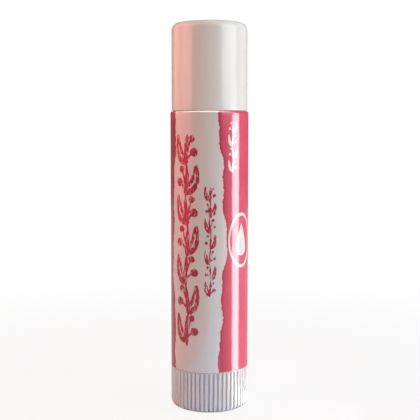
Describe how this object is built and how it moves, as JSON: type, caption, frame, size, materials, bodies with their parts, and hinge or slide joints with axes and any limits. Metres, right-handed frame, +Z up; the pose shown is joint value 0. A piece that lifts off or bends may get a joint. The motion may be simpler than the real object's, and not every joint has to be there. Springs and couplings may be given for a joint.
{
  "type": "lip balm stick",
  "caption": "Slim twist-up lip balm stick with a pull-off cap, a printed label film and a ribbed thumbwheel that lifts the balm on a screw.",
  "frame": {"origin": "middle of the thumbwheel's flat base, where the stick stands", "axes": "+Z up the stick from the thumbwheel to the cap; -Y is the front, the side the camera of the picture faces; the label's seam is at +Y"},
  "size_m": [0.0152, 0.0152, 0.0749],
  "materials": {
    "cap_plastic": "glossy white injection-moulded polypropylene",
    "barrel_plastic": "glossy white injection-moulded polypropylene",
    "wheel_plastic": "glossy white injection-moulded polypropylene with fine upright ribs",
    "mechanism_plastic": "natural satin polypropylene, unpolished",
    "label_film": "thin glossy film printed crimson pink with a white rough-edged band",
    "balm_wax": "pale pink wax balm with a soft sheen"
  },
  "bodies": {
    "barrel": {"barrel": "barrel_plastic", "label": "label_film"},
    "wheel": {"thumbwheel": "wheel_plastic", "spindle": "mechanism_plastic"},
    "carrier": {"carrier": "mechanism_plastic", "balm": "balm_wax"},
    "cap": {"cap": "cap_plastic"}
  },
  "joints": [
    {"name": "wheel_spin", "type": "hinge", "parent": "barrel", "child": "wheel", "pos_m": [0, 0, 0], "axis": [0, 0, 1], "range_deg": [0, 5406]},
    {"name": "balm_lift", "type": "slide", "parent": "barrel", "child": "carrier", "axis": [0, 0, 1], "range_m": [0, 0.045]},
    {"name": "cap_pull", "type": "slide", "parent": "carrier", "child": "cap", "axis": [0, 0, 1], "range_m": [0, 0.04]}
  ],
  "couplings": [
    {"joint": "wheel_spin", "follows": "balm_lift", "rad_per_m": 2094.4}
  ]
}
